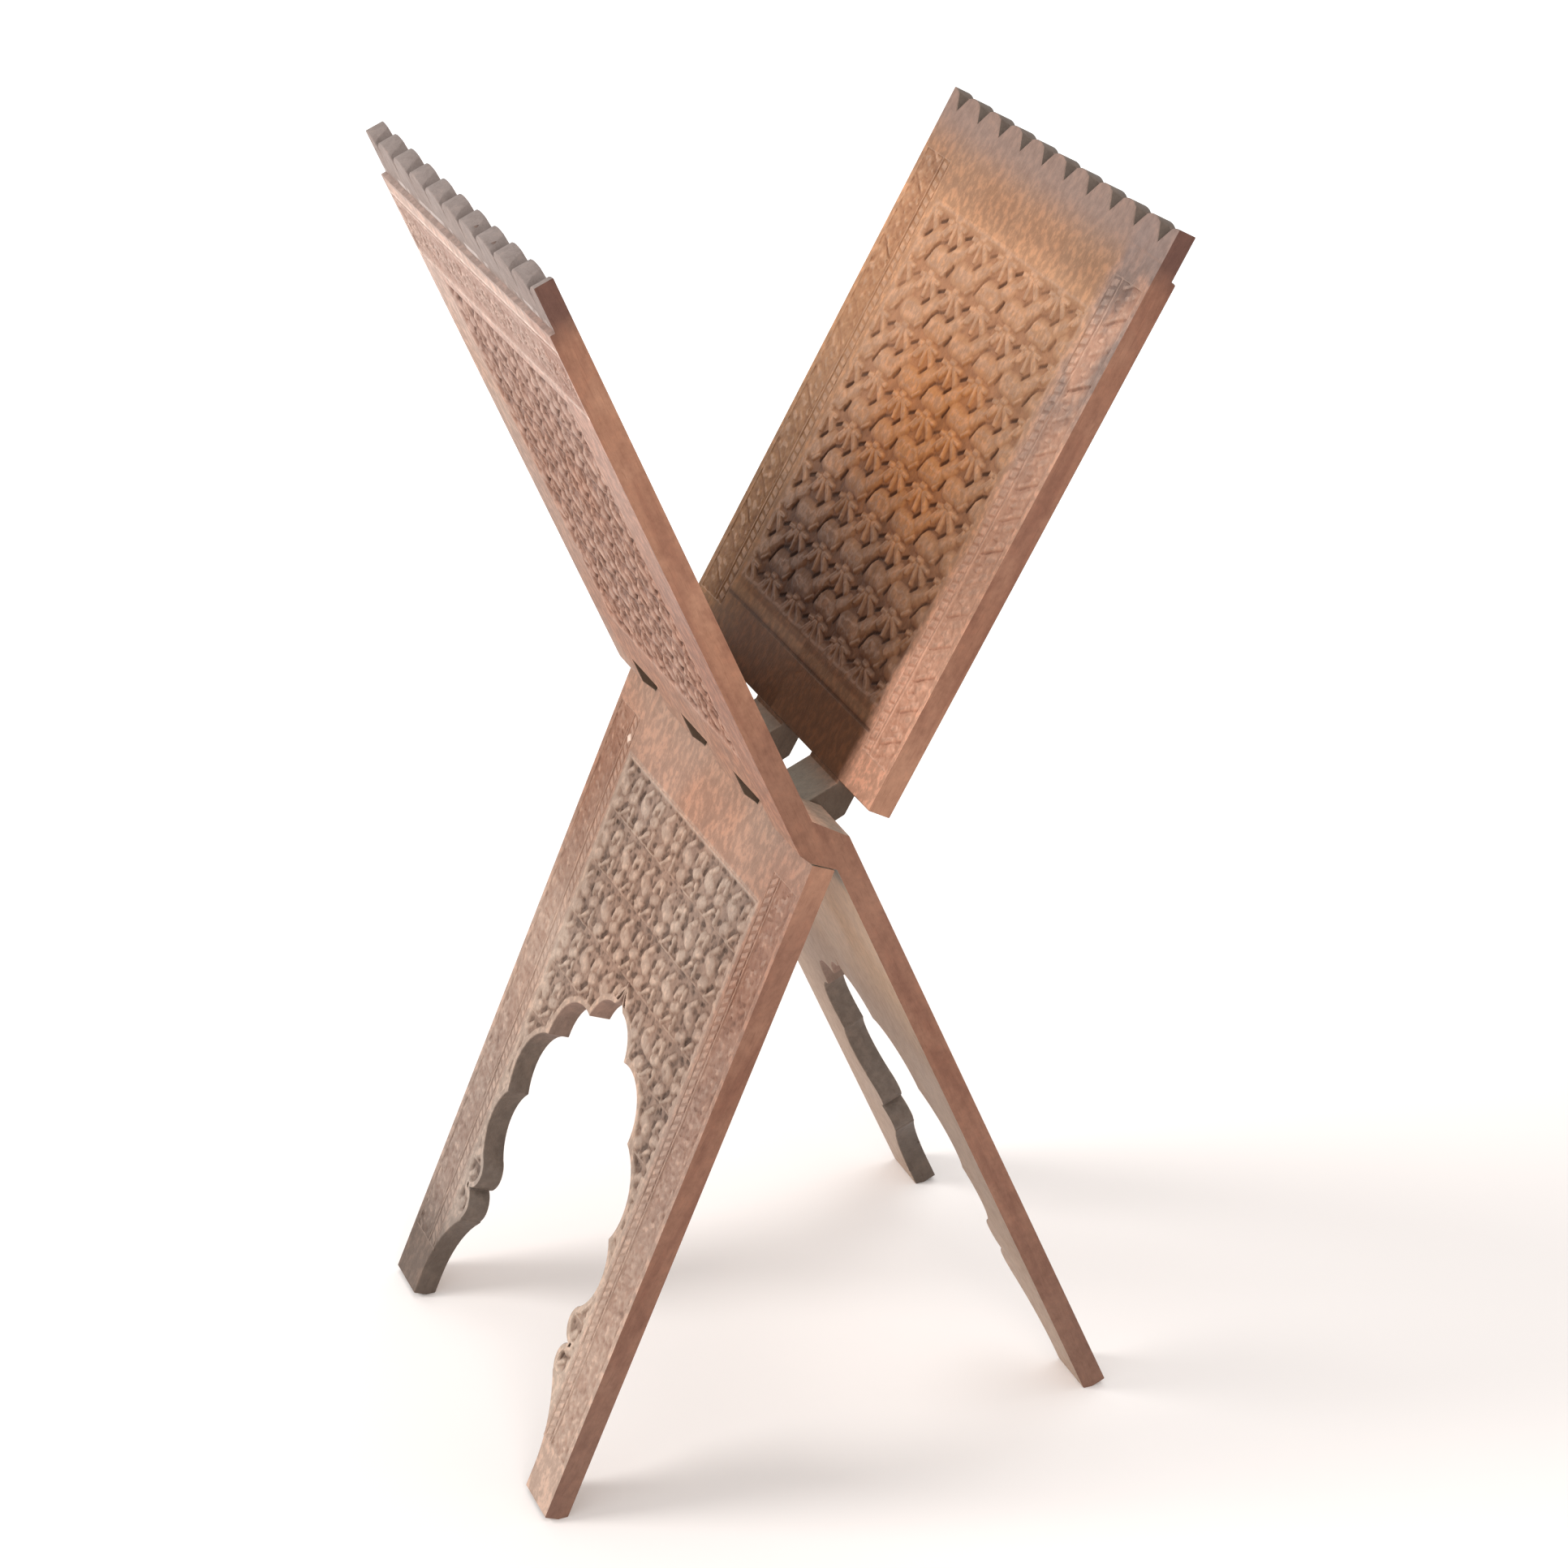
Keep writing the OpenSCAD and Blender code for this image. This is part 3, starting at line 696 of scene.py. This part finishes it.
def rows(y, s, top, seed):
    """Rows of small rosettes under raised lines, as heights below the board's face."""
    y = y + 0.45 * rough(y, s, 15, seed)
    s = s + 0.35 * rough(y, s, 15, seed + 1)
    z = np.mod(s - top, ROW) - ROW
    u = y / COLUMN
    x = (u - np.round(u)) * COLUMN
    edge = (u - np.floor(u) - 0.5) * COLUMN
    height = np.maximum(swelling(x, z, ROW_FORMS, -0.95, -0.03),
                        swelling(edge, z, EDGE_FORMS, -0.95, -0.03))
    hard = 1 + 0.2 * chance(np.floor(2 * u), np.floor((s - top) / ROW), seed + 4)
    cuts = np.minimum(gouge(x, z, ROW_CUTS), gouge(edge, z, EDGE_CUTS))
    height = np.minimum(height, cuts * hard)
    line = np.minimum(-z, z + ROW)
    crown = -0.50 + 0.34 * rough(y, s, 6, seed + 2)
    height = np.maximum(height, blend(-1.3, crown, 1 - rise(line, 0.15, 1.0)))
    height = height - 0.34 * rise(rough(y, s, 2.3, seed + 6), 0.15, 0.75)
    return height + 0.10 * rough(y, s, 1.3, seed + 7)


def outer_field(y, s):
    return cut_in(rows(y, s, OUTER_FIELD[3], 15), margin(y, s, OUTER_FIELD, 0.7, 2.0), y, s, 18,
                  FIELD_DEEP)


def outer_vine(y, s):
    a = s - (OUTER_VINE[2] + OUTER_VINE[3]) / 2
    line = np.abs(np.abs(a) - VINE_LINE)
    height = np.where(np.abs(a) > 10.6, -0.5 + 0.44 * (1 - rise(line, 0.5, 0.9)),
                      vine(a, y, VINE_HALF, 40))
    return cut_in(height, margin(y, s, OUTER_VINE, 0.2) * 0.9, y, s, 45, BORDER_DEEP)


for tag, panel in (("right_outer", RIGHT_LEAF), ("left_outer", LEFT_LEAF)):
    carved_slab(tag + "_lattice", panel, FACE, 1, OUTER_FIELD, outer_field, FIELD_DEEP, pale_tone)
    carved_slab(tag + "_vine", panel, FACE, 1, OUTER_VINE, outer_vine, BORDER_DEEP, pale_tone,
                step=STRIP_GRID)

# ---- Legs ----------------------------------------------------------------------------
# Each leg is cut through by a pointed arch with foils, cusps and two beads on each
# side. The same rows of small rosettes run down to the arch and on along both stiles.
LEG_LEN = 302.0                              # from the fold to the sole
ARCH_HALF, ARCH_H, FOIL_BULGE, BEAD_R = 76.0, 193.0, 9.5, 9.0
RIM = 2.5                                    # plain wood round the arch
# Places round the arch, in shares of its half width and height
CUSPS = ((0.060, 0.961), (0.272, 0.885), (0.634, 0.764), (0.829, 0.575), (0.816, 0.405))
BULGES = (0.4, 1, 1, 0.75)                   # of the foils between them
BEADS = ((0.757, 0.365), (0.772, 0.277))
NECK = ((0.87, 0.33), (0.80, 0.25))
FOOT_LOW, FOOT_HIGH, FOOT_TOP, FOOT_IN = 0.052, 0.25, 0.29, 0.22  # hollow above the foot


def arch_gap(y, s):
    """How far a point lies outside the arch, in mm; less than 0 is in the opening."""
    y = np.abs(y)
    points = [Vector((a * ARCH_HALF, b * ARCH_H - LEG_LEN)) for a, b in CUSPS]
    back = [Vector((a * ARCH_HALF, b * ARCH_H - LEG_LEN)) for a, b in NECK]
    outline = ([Vector((0, ARCH_H - LEG_LEN))] + points + back
               + [Vector((back[-1].x, -LEG_LEN - 9)), Vector((-1, -LEG_LEN - 9))])
    gap = np.full(y.shape, 1e3)
    inside = np.zeros(y.shape, bool)
    for a, b in zip(outline, outline[1:] + outline[:1]):
        gap = np.minimum(gap, from_stroke(y, s, *a, *b))
        if a.y != b.y:
            crossing = a.x + (s - a.y) / (b.y - a.y) * (b.x - a.x)
            inside ^= ((a.y > s) != (b.y > s)) & (y < crossing)
    gap = np.where(inside, -gap, gap)
    for a, b, bulge in zip(points, points[1:], BULGES):
        bulge *= FOIL_BULGE
        half = (b - a).length / 2
        radius = (half * half + bulge * bulge) / (2 * bulge)
        way = (b - a).normalized()
        centre = (a + b) / 2 + (radius - bulge) * Vector((way.y, -way.x))
        gap = np.minimum(gap, np.hypot(y - centre.x, s - centre.y) - radius)
    tall, wide = (FOOT_HIGH - FOOT_LOW) * ARCH_H, FOOT_IN * ARCH_HALF
    radius = (tall ** 2 + wide ** 2) / (2 * wide)
    foot = np.hypot(y - ARCH_HALF + radius, s - FOOT_LOW * ARCH_H + LEG_LEN) - radius
    gap = np.minimum(gap, np.where(s < FOOT_TOP * ARCH_H - LEG_LEN, foot, 1e3))
    for a, b in BEADS:
        bead = BEAD_R - np.hypot(y - a * ARCH_HALF - BEAD_R, s - b * ARCH_H + LEG_LEN)
        gap = np.maximum(gap, bead)
    return gap


def leg_field(y, s):
    inside = margin(y, s, LEG_FIELD, 0.7, 2.5) * rise(arch_gap(y, s), RIM + 0.1, RIM + 1.1)
    return cut_in(rows(y, s, LEG_FIELD[3], 25), inside, y, s, 28, FIELD_DEEP)


for tag, panel in (("left_leg", LEFT_LEG), ("right_leg", RIGHT_LEG)):
    carved_slab(tag + "_lattice", panel, -FACE, -1, LEG_FIELD, leg_field, FIELD_DEEP, pale_tone,
                keep=lambda y, s: arch_gap(y, s) > RIM - 1.0)

# ---- Floor, light and camera ---------------------------------------------------------
# A plain pale floor, soft light from the left and from above, and a camera that looks
# down on the stand from its near left side.
work = bmesh.new()
bmesh.ops.create_grid(work, x_segments=1, y_segments=1, size=6)
mesh = bpy.data.meshes.new("floor")
work.to_mesh(mesh)
work.free()
floor = bpy.data.objects.new("floor", mesh)
bpy.context.scene.collection.objects.link(floor)
pale = bpy.data.materials.new("pale_floor")
pale.use_nodes = True
shader = pale.node_tree.nodes["Principled BSDF"]
floor.data.materials.append(pale)
# far off, the floor is whiter and glows a little, as under the photo's back light
back = Wire(pale.node_tree).node("ShaderNodeTexCoord", out=3).dot((0.38, 0.92, 0)).ramp(0.1, 1.3)
for socket, here, far in (("Base Color", (0.90, 0.85, 0.82), (0.98, 0.98, 0.98)),
                          ("Emission Color", (0, 0, 0), (0.25, 0.25, 0.25))):
    tone = back.plain(here).coats((back, far))
    pale.node_tree.links.new(tone.socket, shader.inputs[socket])
shader.inputs["Emission Strength"].default_value = 1.0
shader.inputs["Roughness"].default_value = 0.9

# The room is white to the camera and in reflections, and dimmer as a light
AMBIENT = 0.52
world = bpy.data.worlds.new("room")
bpy.context.scene.world = world
world.use_nodes = True
room = Wire(world.node_tree)
CAMERA_RAY, GLOSSY_RAY, TRANSMISSION_RAY = 0, 3, 6     # outputs of the Light Path node
seen, glossy, through = (room.node("ShaderNodeLightPath", out=out)
                         for out in (CAMERA_RAY, GLOSSY_RAY, TRANSMISSION_RAY))
strength = AMBIENT + seen.maths("MAXIMUM", glossy).maths("MAXIMUM", through) * (1 - AMBIENT)
background = world.node_tree.nodes["Background"]
background.inputs["Color"].default_value = (1, 1, 1, 1)
world.node_tree.links.new(strength.socket, background.inputs["Strength"])

MIDDLE = Vector((0, 0, 0.27))                # of the stand, at which the lamps point
for name, place, size, power in (("window", Vector((-2.0, 0.7, 1.4)), 1.0, 36),
                                 ("room", Vector((-0.4, -2.1, 1.2)), 1.0, 14),
                                 ("ceiling", Vector((0.5, 0.4, 2.5)), 1.8, 16)):
    light = bpy.data.lights.new(name, "AREA")
    light.shape, light.size, light.energy = "DISK", size, power
    holder = bpy.data.objects.new(name, light)
    holder.location = place
    holder.rotation_euler = (MIDDLE - place).to_track_quat("-Z", "Y").to_euler()
    bpy.context.scene.collection.objects.link(holder)

camera = bpy.data.objects.new("camera", bpy.data.cameras.new("camera"))
camera.data.lens, camera.data.sensor_width, camera.data.sensor_fit = 89.80, 36.0, "HORIZONTAL"
camera.location = (-0.5408, -1.3333, 0.9880)
camera.rotation_euler = Vector((0.3417, 0.8257, -0.4487)).to_track_quat("-Z", "Y").to_euler()
bpy.context.scene.collection.objects.link(camera)
bpy.context.scene.camera = camera
bpy.context.scene.view_settings.view_transform = "Standard"
